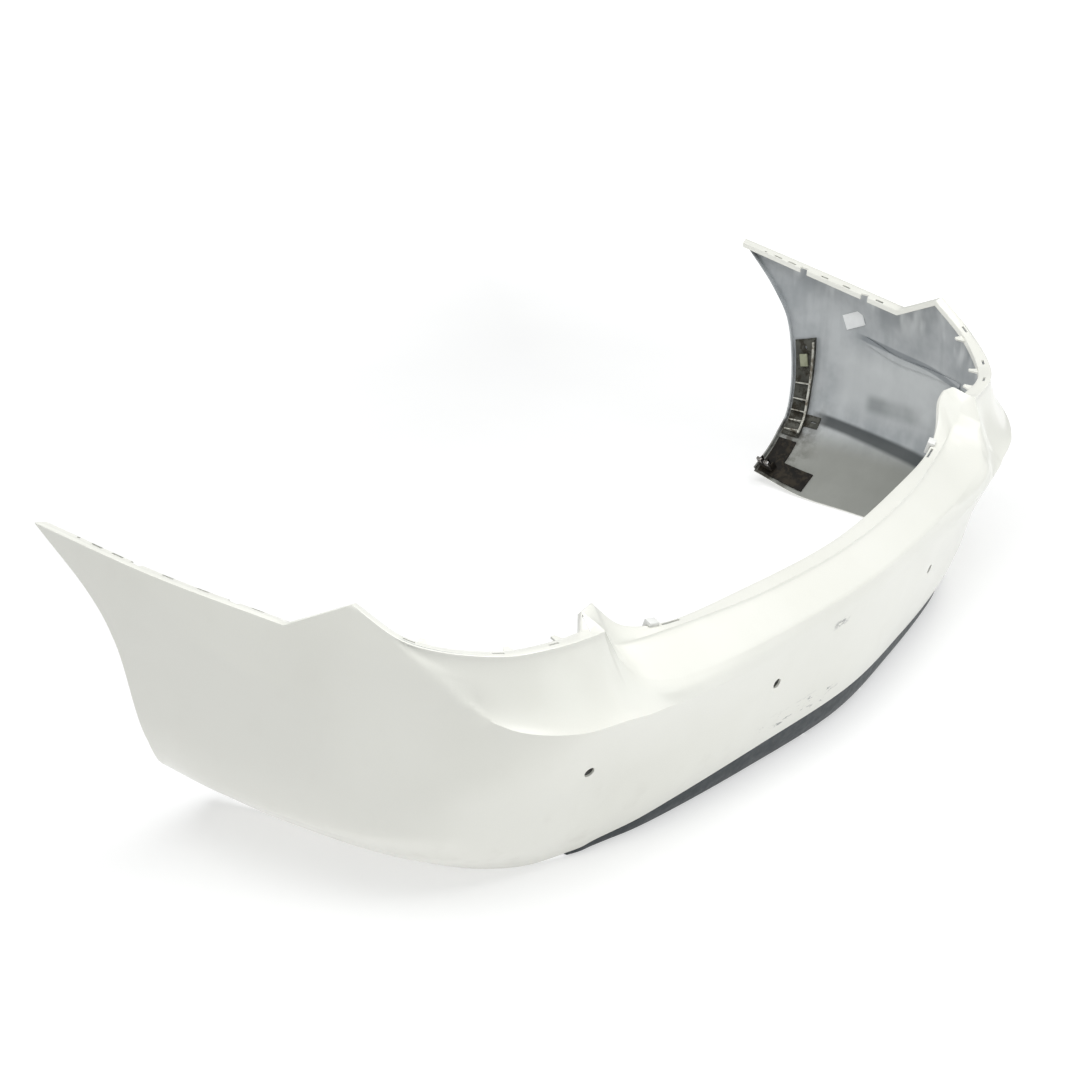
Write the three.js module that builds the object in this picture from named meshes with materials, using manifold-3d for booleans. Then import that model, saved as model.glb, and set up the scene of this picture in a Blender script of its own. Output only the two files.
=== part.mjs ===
// Rear bumper cover of a passenger car, taken off the car and lying on its lower edge.
// Millimetres, +Z up, -Y is the outside of the rear face, +Y points to the front of the car.
// The origin is the middle of the bounding box in plan, on the surface that the cover stands on.

import * as THREE from "three";
import { mergeVertices } from "three/addons/utils/BufferGeometryUtils.js";
import Module from "manifold-3d";

const wasm = await Module();
wasm.setup();

// ---------- driving dimensions ----------
const WALL = 3; // thickness of the painted skin
const THIN = 2.5; // thickness of the unpainted mouldings
const GAP = 0.3; // clearance between touching pieces
const WELD = 1e-3; // vertices this close are one
const DEEP = 12; // how far a cutting tool reaches past a wall

const SENSOR = { bore: 16, ring: 34, flange: 46, depth: 14, flangeThick: 2.5 };
const SENSOR_PLACES = [
  { x: 240, height: 163 },
  { x: 592, height: 161 },
]; // on each half of the rear face

const EAR = { width: 44, depth: 34, hole: 8.6, holeInset: 22, rise: 1 };
const EAR_PLACES = [-430, -270, -90, 90, 270, 430]; // x of the six ears under the rear face
const RIVET = { head: 18, headThick: 2.5, shank: 8, neck: 1, bulb: 9.8, length: 13, bore: 4.4 };
const PIN = { head: 11, headThick: 1.6, stem: 3.8, length: 15 };

// The wheel arch brackets: places are in columns from the arch and in rows above the seam.
const ARCH = { flange: 12, start: 0.12, columns: 0.8, bottomRow: 2.4, topRow: 5.5, wall: 14 };
const RIBS = { count: 5, size: [30, 2.4, 11], depth: 6 };
const TAB = { columns: 1.05, row: 3.2, size: [34, 26, THIN], slot: [12, 4, 20], slotOffset: 5 };
const FOOT = { bottomRow: 0.15, topRow: 2.2, soleColumns: 2.2, soleRow: 1.1 };
const PLATE = { row: 0.4, depth: 14, size: [34, THIN, 28] };
const CLIP = { size: [12, 6.1, 12], jaw: [16, THIN + 2 * GAP, 12], jawOffset: 1.6, depth: 28, apart: 9 };
const SLOT = { wing: [20, 4, 10], lamp: [16, 4, 10], ledge: [34, 4, 10] }; // cut in the flanges
const HOLE = [2.5, -5, 5]; // radius and reach of the round hole near the wing's tip
const RECESS = { depth: 12, shares: [0, 0.8, 1, 0.6, 0] }; // the lamp's hollow, row by row above the shoulder
const NOTCH = { length: 16, depth: 6, reach: 40 }; // cut-outs in the inner edge of the wing's flange
const SLIT = { stations: [6.15, 6.8], rows: [2.9, 1.3], width: 1.8 }; // between horn and lamp flange
const LABEL = { width: 46, height: 32, thick: 1.2, station: 12.95, row: 5.9 };
const PAD = { width: 18, height: 26, thick: 5 };
const EAR_CORE = 120; // height of the drill that makes the holes in the ears
const GRIP = { size: [18, 22, 13], offset: [0, 0, 0.5], x: 421 }; // the white clip on the ledge's hem
const LAMP_TAB = { size: [15, WALL, 16], offset: 7 };

// ---------- materials ----------
const finish = (color, roughness, metalness = 0) =>
  new THREE.MeshStandardMaterial({ color, roughness, metalness });
const PAINT = finish(0xe9e8dd, 0.3);
const SLATE = finish(0x4b5256, 0.55);
const GREY_PLASTIC = finish(0x8f9291, 0.6);
const DIRTY_PLASTIC = finish(0x3a3733, 0.8);
const BLACK_PLASTIC = finish(0x222426, 0.6);
const WHITE_PLASTIC = finish(0xe4e4e0, 0.5);
const SPRING_STEEL = finish(0x9a9c9e, 0.35, 0.9);
const FOAM = finish(0x8d927c, 0.95);
const PAPER = finish(0xdfe0de, 0.85);

// ---------- feature lines of the skin ----------
// Each line runs from the centre of the car (first point) round the right corner to the wheel arch
// (last point), and has one point at each of the same fifteen stations. The left half mirrors it.
const FACE_LINES = {
  seam: [[0, 7, 52], [230, 33, 44], [400, 66, 29], [465, 84, 20], [502, 98, 15], [530, 108, 12],
    [548, 114, 9], [566, 124, 6], [618, 155, 0], [662, 200, 0], [690, 257, 0], [705, 315, 0],
    [714, 385, 0.5], [724, 500, 3], [748, 617, 20]],
  tuck: [[0, -2, 85], [230, 20, 80], [400, 46, 72], [465, 62, 68], [502, 73, 66], [530, 80, 65],
    [548, 86, 64], [566, 92, 63], [650, 124, 62], [722, 170, 62], [765, 232, 62], [785, 300, 62],
    [795, 375, 62], [802, 490, 62], [806, 606, 70]],
  belt: [[0, -12, 158], [230, -1, 158], [400, 25, 156], [465, 39, 156], [502, 48, 156],
    [530, 56, 156], [548, 62, 156], [566, 67, 156], [672, 102, 155], [764, 160, 152],
    [812, 230, 150], [842, 300, 150], [856, 380, 150], [868, 500, 150], [864, 605, 150]],
  shoulder: [[0, -21, 208], [230, -12, 214], [400, 0, 228], [465, 8, 232], [502, 14, 235],
    [530, 19, 237], [548, 23, 239], [566, 28, 241], [645, 48, 250], [712, 90, 268],
    [760, 163, 300], [840, 290, 300], [858, 372, 305], [878, 490, 335], [884, 628, 300]],
  upper: [[0, -25, 228], [231, -14, 233], [405, 5, 242], [481, 16, 251], [512, 30, 257],
    [537, 42, 270], [549, 51, 287], [566, 56, 292], [637, 68, 302], [708, 108, 315],
    [768, 170, 345], [828, 282, 370], [850, 365, 350], [880, 530, 375], [888, 665, 360]],
  rim: [[0, -25, 246], [232, -11, 249], [404, 14, 253], [485, 30, 264], [517, 50, 278],
    [541, 64, 307], [549, 81, 345], [566, 82, 346], [632, 92, 353], [704, 128, 358],
    [785, 207, 385], [809, 274, 427], [838, 362, 385], [874, 551, 412], [898, 748, 444]],
};
// The flange turns in from the rim: tailgate ledge and horn up to the seventh station, then the
// lamp flange, then the flange along the top of the wing.
const FLANGE_LINES = {
  groove: [[0, 20, 282], [230, 37, 285], [400, 72, 290], [465, 88, 293], [496, 97, 298],
    [524, 95, 322], [547, 92, 349], [565, 93, 344], [630, 99, 353], [700, 134, 358],
    [780, 210, 385], [804, 276, 426], [831, 364, 385], [867, 553, 411], [891, 746, 443]],
  step: [[0, 21, 285.5], [230, 38, 288.5], [400, 73, 293.5], [465, 89, 297], [498, 99, 303],
    [523, 98, 326], [546, 96, 350], [565, 101, 343], [628, 106, 352], [697, 139, 357],
    [775, 213, 384], [799, 278, 424], [825, 366, 383], [861, 555, 409], [885, 745, 441]],
  edge: [[0, 48, 286], [230, 66, 289], [400, 91, 295], [471, 111, 315], [503, 124, 347],
    [517, 124, 361], [544, 122, 359], [565, 111, 341], [625, 114, 350], [692, 146, 355],
    [770, 216, 382], [794, 280, 422], [820, 367, 381], [856, 556, 408], [880, 744, 440]],
  hem: [[0, 50, 277], [230, 68, 280], [401, 93, 286], [473, 115, 307], [505, 130, 341],
    [518, 130, 353], [542, 129, 351], [565, 113, 332], [625, 115, 341], [692, 147, 346],
    [769, 217, 373], [793, 281, 413], [819, 368, 372], [855, 557, 399], [879, 743, 431]],
};
const SHARP_STATIONS = [5, 6, 7, 11, 12]; // the rim and the flange turn sharply at these
const STATION_STEPS = 2; // grid steps between two stations
const LINE_STEPS = 2; // grid steps between two feature lines of the face
const SHOULDER = 3; // the face line that the lamp recess starts from
const VALANCE_STATION = 7; // the dark valance ends at this station

// ---------- curves ----------
const vector = ([x, y, z]) => new THREE.Vector3(x, y, z);
const mirrored = (p) => new THREE.Vector3(-p.x, p.y, p.z);

const steps = (from, to, count) =>
  Array.from({ length: count + 1 }, (_, i) => from + ((to - from) * i) / count);

// Points along a line of stations, smooth except at the listed ones.
function pointsAlong(stations, sharp, steps) {
  const turns = [0, ...sharp, stations.length - 1];
  const found = [stations[0].clone()];
  for (let t = 1; t < turns.length; t++) {
    const span = stations.slice(turns[t - 1], turns[t] + 1);
    const curve = new THREE.CatmullRomCurve3(span, false, "centripetal");
    found.push(...curve.getPoints((span.length - 1) * steps).slice(1));
  }
  return found;
}

// The whole line, from the left wheel arch to the right one.
function fullLine(half, sharp = []) {
  const right = half.map(vector);
  const left = right.slice(1).reverse().map(mirrored);
  const turns = [...sharp.map((s) => left.length - s).reverse(), ...sharp.map((s) => left.length + s)];
  return pointsAlong([...left, ...right], turns, STATION_STEPS);
}

// ---------- the skin's grid: columns from left to right, rows from the seam to the hem ----------
const faceLines = Object.entries(FACE_LINES).map(([name, half]) =>
  fullLine(half, name === "rim" ? SHARP_STATIONS : []));
const flangeLines = Object.values(FLANGE_LINES).map((half) => fullLine(half, SHARP_STATIONS));
const COLUMNS = faceLines[0].length;
const MIDDLE = (COLUMNS - 1) / 2;
const RIM_ROW = (faceLines.length - 1) * LINE_STEPS;
const HEM_ROW = RIM_ROW + flangeLines.length;

// From 0 at one value to 1 at another, and level beyond them.
const rising = (value, from, to) => Math.min(Math.max((value - from) / (to - from), 0), 1);

// The skin turns sharply at the shoulder, as far as the outer corner of the lamp recess.
function skinColumn(c) {
  const points = faceLines.map((line) => line[c]);
  const folded = pointsAlong(points, [SHOULDER], LINE_STEPS);
  const share = rising(stationOf(c), 10.5, 10);
  const face = pointsAlong(points, [], LINE_STEPS).map((point, i) => point.lerp(folded[i], share));
  return [...face, ...flangeLines.map((line) => line[c])];
}
const stationOf = (column) => Math.abs(column - MIDDLE) / STATION_STEPS;
const skinGrid = steps(0, COLUMNS - 1, COLUMNS - 1).map(skinColumn);

// Outward normals at the points of a grid.
function gridNormals(grid) {
  const inside = (c, r) => c >= 0 && c < grid.length && r >= 0 && r < grid[0].length;
  return grid.map((column, c) =>
    column.map((point, r) => {
      const normal = new THREE.Vector3();
      for (const [dc, dr] of [[1, 1], [-1, 1], [-1, -1], [1, -1]]) {
        if (!inside(c + dc, r + dr)) continue;
        const along = grid[c + dc][r].clone().sub(point).multiplyScalar(dc);
        const up = grid[c][r + dr].clone().sub(point).multiplyScalar(dr);
        normal.add(along.cross(up).normalize());
      }
      return normal.normalize();
    }));
}

// The lamp recess is hollowed out between the shoulder and the rim.
const plainNormals = gridNormals(skinGrid);
skinGrid.forEach((column, c) => {
  const share = rising(stationOf(c), 4, 7) * rising(stationOf(c), 10.5, 9.5);
  RECESS.shares.forEach((part, i) => {
    const row = SHOULDER * LINE_STEPS + i;
    column[row].addScaledVector(plainNormals[c][row], -RECESS.depth * part * share);
  });
});
const skinNormals = gridNormals(skinGrid);

// ---------- solids ----------
// A closed sheet between a grid pushed out by near and by far along its normals.
function sheet(grid, normals, near, far) {
  const columns = grid.length;
  const rows = grid[0].length;
  const positions = [];
  for (const distance of [near, far])
    for (let c = 0; c < columns; c++)
      for (let r = 0; r < rows; r++) {
        const point = grid[c][r].clone().addScaledVector(normals[c][r], distance);
        positions.push(point.x, point.y, point.z);
      }
  const at = (side, c, r) => side * columns * rows + c * rows + r;
  const index = [];
  const quad = (a, b, c, d) => index.push(a, b, c, a, c, d);
  for (let c = 0; c < columns - 1; c++) {
    for (let r = 0; r < rows - 1; r++) {
      quad(at(0, c, r), at(0, c, r + 1), at(0, c + 1, r + 1), at(0, c + 1, r));
      quad(at(1, c, r), at(1, c + 1, r), at(1, c + 1, r + 1), at(1, c, r + 1));
    }
    const top = rows - 1;
    quad(at(0, c, 0), at(0, c + 1, 0), at(1, c + 1, 0), at(1, c, 0));
    quad(at(1, c, top), at(1, c + 1, top), at(0, c + 1, top), at(0, c, top));
  }
  for (let r = 0; r < rows - 1; r++) {
    const end = columns - 1;
    quad(at(1, 0, r), at(1, 0, r + 1), at(0, 0, r + 1), at(0, 0, r));
    quad(at(0, end, r), at(0, end, r + 1), at(1, end, r + 1), at(1, end, r));
  }
  const geometry = new THREE.BufferGeometry();
  geometry.setAttribute("position", new THREE.Float32BufferAttribute(positions, 3));
  geometry.setIndex(index);
  return solid(geometry);
}

function solid(geometry) {
  const bare = geometry.index ? geometry.clone() : geometry;
  bare.deleteAttribute("normal");
  bare.deleteAttribute("uv");
  const merged = mergeVertices(bare, WELD);
  return new wasm.Manifold(new wasm.Mesh({
    numProp: 3,
    vertProperties: merged.attributes.position.array,
    triVerts: new Uint32Array(merged.index.array),
  }));
}

function geometryOf(body) {
  const mesh = body.getMesh();
  const geometry = new THREE.BufferGeometry();
  geometry.setAttribute("position", new THREE.BufferAttribute(mesh.vertProperties, 3));
  geometry.setIndex(new THREE.BufferAttribute(mesh.triVerts, 1));
  return geometry;
}

// The outer surface of a body alone, so that a pocket closed by its parts is filled.
const filled = (body) =>
  solid(geometryOf(body)).decompose().reduce((best, part) => (part.volume() > best.volume() ? part : best));

// The matrix of a place with its own axes: side, up and outward.
const frameAt = (origin, side, up, outward) =>
  new THREE.Matrix4().makeBasis(side, up, outward).setPosition(origin);

const placed = (geometry, matrix) => solid(geometry.applyMatrix4(matrix));

// A block centred on a place, seen in that place's axes.
const block = (matrix, size, offset = [0, 0, 0]) =>
  placed(new THREE.BoxGeometry(...size).translate(...offset), matrix);

// A turned solid along a place's outward axis, from [radius, height] corners that close on the axis
// or on themselves.
function turned(matrix, corners, segments = 24) {
  const profile = corners.map(([radius, height]) => new THREE.Vector2(radius, height));
  const lathe = new THREE.LatheGeometry(profile, segments).rotateX(Math.PI / 2);
  return placed(lathe, matrix);
}

const disc = (radius, low, high) => [[0, low], [radius, low], [radius, high], [0, high]];
const ring = (inner, outer, low, high) =>
  [[inner, low], [outer, low], [outer, high], [inner, high], [inner, low]];

// ---------- places on the skin ----------
// The place at a column and row of the grid, both of which may be fractions.
function placeOnSkin(column, row, depth = 0) {
  const c = Math.min(Math.floor(column), COLUMNS - 2);
  const r = Math.min(Math.floor(row), HEM_ROW - 1);
  const blend = (table) =>
    table[c][r].clone().lerp(table[c][r + 1], row - r)
      .lerp(table[c + 1][r].clone().lerp(table[c + 1][r + 1], row - r), column - c);
  const outward = blend(skinNormals).normalize();
  const along = skinGrid[c + 1][r].clone().sub(skinGrid[c][r]);
  const up = outward.clone().cross(along).normalize();
  const side = up.clone().cross(outward);
  return frameAt(blend(skinGrid).addScaledVector(outward, -depth), side, up, outward);
}

// The column whose point on the row has this x.
function columnAtX(row, x) {
  const c = skinGrid.findIndex((column) => column[row].x > x) - 1;
  const [from, to] = [skinGrid[c][row].x, skinGrid[c + 1][row].x];
  return c + (x - from) / (to - from);
}

// The row whose point on the column has this height.
function rowAtHeight(column, height) {
  const c = Math.round(column);
  const r = skinGrid[c].findIndex((point) => point.z > height) - 1;
  const [from, to] = [skinGrid[c][r].z, skinGrid[c][r + 1].z];
  return r + (height - from) / (to - from);
}

const stationColumn = (side, station) => MIDDLE + side * station * STATION_STEPS;
const archColumn = (side) => stationColumn(side, 14);
const SIDES = { left: -1, right: 1 };

// A patch of a sheet that lies behind the skin, between two depths.
function backing(columns, rows, near, far) {
  const frames = columns.map((column) => rows.map((row) => placeOnSkin(column, row)));
  const grid = frames.map((list) => list.map((f) => new THREE.Vector3().setFromMatrixPosition(f)));
  const normals = frames.map((list) =>
    list.map((f) => new THREE.Vector3().setFromMatrixColumn(f, 2)));
  return sheet(grid, normals, -far, -near);
}

// A wall that stands inwards from the skin along a column, from one depth to another.
function standingWall(column, firstRow, lastRow, near, far, thickness, lean) {
  const rows = steps(firstRow, lastRow, Math.round((lastRow - firstRow) * 1.5));
  const frames = rows.map((row) => placeOnSkin(column, row));
  const outward = frames.map((f) => new THREE.Vector3().setFromMatrixColumn(f, 2));
  const side = frames.map((f) => new THREE.Vector3().setFromMatrixColumn(f, 0));
  const foot = frames.map((f) => new THREE.Vector3().setFromMatrixPosition(f));
  const grid = [near, far].map((depth) =>
    foot.map((point, i) => point.clone().addScaledVector(outward[i], -depth)));
  const [low, high] = lean > 0 ? [0, thickness] : [-thickness, 0];
  return sheet(grid, [side, side], low, high);
}

// ---------- cover skin ----------
function sensorFrames() {
  const places = [];
  for (const side of [-1, 1])
    for (const { x, height } of SENSOR_PLACES) {
      const beltRow = 2 * LINE_STEPS;
      const column = columnAtX(beltRow, side * x);
      places.push(placeOnSkin(column, rowAtHeight(column, height)));
    }
  return places;
}

// The skin with room round it, between two depths. The same sheet a little lower is joined to it,
// so that the room goes round the skin's lower edges too.
function roomRound(near, far) {
  const lowered = skinGrid.map((column) =>
    column.map((point) => point.clone().setZ(point.z - 2 * GAP)));
  return sheet(skinGrid, skinNormals, near, far).add(sheet(lowered, skinNormals, near, far));
}

// The space outside the skin's inner surface, which pieces behind the skin keep clear of.
const outsideSpace = roomRound(-WALL - GAP, DEEP);
const outerSkin = sheet(skinGrid, skinNormals, -WALL / 2, DEEP);

// The flat ear that stands forward from the wall at x, with its underside at a height.
function earBlock(x, bottom, thickness, wallY) {
  const centre = new THREE.Vector3(x, wallY + EAR.depth / 2, bottom + thickness / 2);
  return solid(new THREE.BoxGeometry(EAR.width, EAR.depth, thickness).translate(...centre));
}

const seamAt = (x) =>
  new THREE.Vector3().setFromMatrixPosition(placeOnSkin(columnAtX(0, x), 0));

// Where the ear at x stands: just above the highest seam under it.
function earPlace(x) {
  const { y } = seamAt(x);
  const ends = [x - EAR.width / 2, x + EAR.width / 2].map((end) => seamAt(end).z);
  return { wallY: y - WALL, underside: Math.max(...ends) + EAR.rise, holeY: y + EAR.holeInset };
}

const upright = (x, y, z) =>
  frameAt(new THREE.Vector3(x, y, z), new THREE.Vector3(1, 0, 0), new THREE.Vector3(0, 1, 0),
    new THREE.Vector3(0, 0, 1));

// Slots in the wing's top flange, and its round hole near the tip, by fraction of the way from the
// lamp corner to the tip.
const WING_SLOTS = [0.12, 0.33, 0.47, 0.68, 0.77];
const WING_NOTCHES = [0.21, 0.6];
const WING_HOLE = 0.85;
const LAMP_SLOT_STATIONS = [8, 9, 10];
const LEDGE_SLOT_X = 391;
const EDGE_ROW = RIM_ROW + 3;

// A cut through the skin from one place on it to another.
function slitCutter(side) {
  const [start, end] = SLIT.stations.map((station, i) =>
    placeOnSkin(stationColumn(side, station), RIM_ROW + SLIT.rows[i]));
  const from = new THREE.Vector3().setFromMatrixPosition(start);
  const to = new THREE.Vector3().setFromMatrixPosition(end);
  const along = to.clone().sub(from).normalize();
  const outward = new THREE.Vector3().setFromMatrixColumn(start, 2);
  const across = outward.cross(along).normalize();
  const middle = from.clone().lerp(to, 0.5);
  return block(frameAt(middle, along, across, along.clone().cross(across)),
    [from.distanceTo(to), SLIT.width, 2 * DEEP]);
}

// A notch cut straight down through the inner edge of a wing's flange.
function notchCutter(side, column) {
  const edge = new THREE.Vector3().setFromMatrixPosition(placeOnSkin(column, EDGE_ROW));
  const size = [2 * NOTCH.depth, NOTCH.length, NOTCH.reach];
  return block(upright(edge.x, edge.y, edge.z), size);
}

function skinCutters() {
  const cutters = sensorFrames().map((frame) =>
    turned(frame, disc(SENSOR.bore / 2, -DEEP, DEEP)));
  const flangeRow = RIM_ROW + 2.4;
  for (const side of [-1, 1]) {
    const start = stationColumn(side, 12);
    const reach = side * 2 * STATION_STEPS;
    for (const fraction of WING_SLOTS)
      cutters.push(block(placeOnSkin(start + reach * fraction, flangeRow), SLOT.wing));
    for (const fraction of WING_NOTCHES) cutters.push(notchCutter(side, start + reach * fraction));
    cutters.push(turned(placeOnSkin(start + reach * WING_HOLE, flangeRow), disc(...HOLE)));
    for (const station of LAMP_SLOT_STATIONS)
      cutters.push(block(placeOnSkin(stationColumn(side, station), RIM_ROW + 1.5), SLOT.lamp));
    const ledge = columnAtX(EDGE_ROW, side * LEDGE_SLOT_X);
    cutters.push(block(placeOnSkin(ledge, EDGE_ROW - 0.3), SLOT.ledge));
    cutters.push(slitCutter(side));
  }
  for (const x of EAR_PLACES) {
    const { holeY } = earPlace(x);
    cutters.push(turned(upright(x, holeY, 0), disc(EAR.hole / 2, 0, EAR_CORE)));
  }
  return cutters;
}

const LAMP_TAB_STATIONS = [7.6, 8.75, 9.85];

// A small tongue on the inner edge of the lamp flange.
const lampTab = (side, station) =>
  block(placeOnSkin(stationColumn(side, station), HEM_ROW - 0.4), LAMP_TAB.size, [0, 0, LAMP_TAB.offset]);

function coverSkin() {
  let skin = sheet(skinGrid, skinNormals, -WALL, 0);
  for (const x of EAR_PLACES) {
    const { wallY, underside } = earPlace(x);
    skin = skin.add(earBlock(x, underside, WALL, wallY).subtract(outerSkin));
  }
  for (const side of [-1, 1]) {
    skin = skin.add(standingWall(archColumn(side), 0, RIM_ROW, WALL / 2, ARCH.flange, WALL, -side));
    for (const station of LAMP_TAB_STATIONS) skin = skin.add(lampTab(side, station));
  }
  for (const cutter of skinCutters()) skin = skin.subtract(cutter);
  return filled(skin);
}

// ---------- lower valance ----------
const VALANCE = { seamGap: 0.6, slant: 0.4, foot: 30, roll: 9, hollow: 0.06 };

function lowerValance() {
  const reach = VALANCE_STATION * STATION_STEPS;
  const grid = [];
  for (let c = MIDDLE - reach; c <= MIDDLE + reach; c++) {
    const { x, y, z } = skinGrid[c][0];
    const top = z - VALANCE.seamGap;
    const bottomY = y + VALANCE.slant * z;
    grid.push([
      new THREE.Vector3(x, bottomY + VALANCE.foot, 0.5),
      new THREE.Vector3(x, bottomY, 0),
      new THREE.Vector3(x, (y + bottomY) / 2 - VALANCE.hollow * z, top / 2),
      new THREE.Vector3(x, y, top),
      new THREE.Vector3(x, y + VALANCE.roll, top),
    ]);
  }
  let valance = sheet(grid, gridNormals(grid), -THIN, 0);
  for (const x of EAR_PLACES) {
    const { wallY, underside, holeY } = earPlace(x);
    const ear = earBlock(x, underside - GAP - THIN, THIN, wallY);
    valance = valance.add(ear.subtract(outsideSpace));
    valance = valance.subtract(turned(upright(x, holeY, 0), disc(EAR.hole / 2, 0, EAR_CORE)));
  }
  return valance;
}

// ---------- push rivets ----------
// The body's head lies under the valance's ear, and its shank goes up through both ears.
function rivetBody(x) {
  const { holeY, underside } = earPlace(x);
  const seat = underside - THIN - 2 * GAP;
  const grip = THIN + WALL + 3 * GAP;
  const hollow = RIVET.bore / 2;
  return turned(upright(x, holeY, seat), [
    [hollow, -RIVET.headThick], [RIVET.head / 2, -RIVET.headThick], [RIVET.head / 2, 0],
    [RIVET.shank / 2, 0], [RIVET.shank / 2, grip + RIVET.neck],
    [RIVET.bulb / 2, grip + 3 * RIVET.neck], [hollow + RIVET.neck, RIVET.length],
    [hollow, RIVET.length], [hollow, -RIVET.headThick],
  ], 20);
}

function rivetPin(x) {
  const { holeY, underside } = earPlace(x);
  const seat = underside - THIN - 3 * GAP - RIVET.headThick;
  return turned(upright(x, holeY, seat), [
    [0, -PIN.headThick], [PIN.head / 2, -PIN.headThick], [PIN.head / 2, 0], [PIN.stem / 2, 0],
    [PIN.stem / 2, PIN.length - 2], [0, PIN.length],
  ], 20);
}

// ---------- parking sensor holders ----------
// A ring round the bore, with a flange that follows the inside of the skin.
const sensorHolder = (frame) =>
  turned(frame, ring(SENSOR.bore / 2 + 1, SENSOR.flange / 2, -WALL - SENSOR.flangeThick, 0))
    .add(turned(frame, ring(SENSOR.bore / 2 + 1, SENSOR.ring / 2, -WALL - SENSOR.depth, -WALL)))
    .subtract(outsideSpace);

// ---------- wheel arch brackets ----------
const insideArch = (side, columns) => archColumn(side) - side * columns;

// A channel behind the arch edge: a base on the skin, a wall along its rear edge, and ribs.
function archBracket(side) {
  const columns = steps(insideArch(side, ARCH.start), insideArch(side, ARCH.columns), 2);
  const rows = steps(ARCH.bottomRow, ARCH.topRow, 6);
  const base = WALL + 2 * GAP;
  let bracket = backing(side > 0 ? columns.reverse() : columns, rows, base, base + THIN);
  const wallColumn = insideArch(side, ARCH.columns);
  bracket = bracket.add(
    standingWall(wallColumn, ARCH.bottomRow, ARCH.topRow, base, base + ARCH.wall, THIN, side));
  const middle = insideArch(side, (ARCH.start + ARCH.columns) / 2);
  for (const row of steps(ARCH.bottomRow + 0.15, ARCH.topRow - 1.1, RIBS.count - 1))
    bracket = bracket.add(block(placeOnSkin(middle, row, base + RIBS.depth), RIBS.size));
  const tab = placeOnSkin(insideArch(side, TAB.columns), TAB.row, base + THIN / 2);
  bracket = bracket.add(block(tab, TAB.size))
    .subtract(block(tab, TAB.slot, [-TAB.slotOffset * side, 0, 0]));
  return filled(bracket.subtract(outsideSpace));
}

// The dark foot at the lower corner of the arch, with a plate that the wheel arch liner screws to.
function archFoot(side) {
  const columns = steps(insideArch(side, ARCH.start), insideArch(side, ARCH.columns), 2);
  const rows = steps(FOOT.bottomRow, FOOT.topRow, 4);
  const base = WALL + 2 * GAP;
  const sole = steps(insideArch(side, ARCH.columns - 0.1), insideArch(side, FOOT.soleColumns), 3);
  const soleRows = steps(FOOT.bottomRow, FOOT.soleRow, 3);
  if (side > 0) {
    columns.reverse();
    sole.reverse();
  }
  const foot = backing(columns, rows, base, base + THIN)
    .add(backing(sole, soleRows, base, base + THIN));
  const plate = placeOnSkin(insideArch(side, ARCH.columns / 2), PLATE.row, base + PLATE.depth);
  return foot.add(block(plate, PLATE.size)).subtract(outsideSpace);
}

// A spring clip folded over the edge of the foot's plate.
function archClip(side, offset) {
  const plate = placeOnSkin(insideArch(side, ARCH.columns / 2), PLATE.row, WALL + CLIP.depth);
  return block(plate, CLIP.size, [offset, 0, 0])
    .subtract(block(plate, CLIP.jaw, [offset, 0, CLIP.jawOffset]));
}

// ---------- small pieces on the inside ----------
function archPad(side) {
  const base = WALL + THIN + 4 * GAP;
  const column = insideArch(side, ARCH.columns * 0.55);
  const place = placeOnSkin(column, ARCH.topRow - 0.55, base + PAD.thick / 2);
  return block(place, [PAD.width, PAD.height, PAD.thick])
    .subtract(roomRound(-base, DEEP));
}

// The white clip that grips the hem of the ledge beside the horn.
function ledgeClip(side) {
  const place = placeOnSkin(columnAtX(HEM_ROW, side * GRIP.x), HEM_ROW - 0.5);
  return block(place, GRIP.size, GRIP.offset)
    .subtract(roomRound(-WALL - 2 * GAP, 2 * GAP));
}

// A blank paper label on the inside of the right wing.
function insideLabel() {
  const place = placeOnSkin(stationColumn(1, LABEL.station), LABEL.row, WALL + LABEL.thick / 2);
  return block(place, [LABEL.width, LABEL.height, LABEL.thick]).subtract(outsideSpace);
}

// ---------- assembly ----------
const cover = new THREE.Group();
function addPiece(name, body, material) {
  const mesh = new THREE.Mesh(geometryOf(body), material);
  mesh.name = name;
  cover.add(mesh);
}

addPiece("cover_skin", coverSkin(), PAINT);
addPiece("lower_valance", lowerValance(), SLATE);
EAR_PLACES.forEach((x, i) => {
  addPiece(`rivet_body_${i + 1}`, rivetBody(x), BLACK_PLASTIC);
  addPiece(`rivet_pin_${i + 1}`, rivetPin(x), BLACK_PLASTIC);
});
sensorFrames().forEach((frame, i) =>
  addPiece(`sensor_holder_${i + 1}`, sensorHolder(frame), BLACK_PLASTIC));
for (const [name, side] of Object.entries(SIDES)) {
  addPiece(`arch_bracket_${name}`, archBracket(side), GREY_PLASTIC);
  addPiece(`arch_foot_${name}`, archFoot(side), DIRTY_PLASTIC);
  addPiece(`arch_clip_${name}_1`, archClip(side, -CLIP.apart), SPRING_STEEL);
  addPiece(`arch_clip_${name}_2`, archClip(side, CLIP.apart), SPRING_STEEL);
  addPiece(`arch_pad_${name}`, archPad(side), FOAM);
  addPiece(`ledge_clip_${name}`, ledgeClip(side), WHITE_PLASTIC);
}
addPiece("inside_label", insideLabel(), PAPER);

const bounds = new THREE.Box3().setFromObject(cover);
cover.position.set(0, -(bounds.min.y + bounds.max.y) / 2, -bounds.min.z);

export default cover;
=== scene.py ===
"""Rear bumper cover of a passenger car, lying on its lower edge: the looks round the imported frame.

Metres, +Z up, -Y is the outside of the rear face, +Y points to the front of the car.
"""

import math

import bmesh
import bpy
import numpy as np
from mathutils import Matrix, Vector


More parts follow.
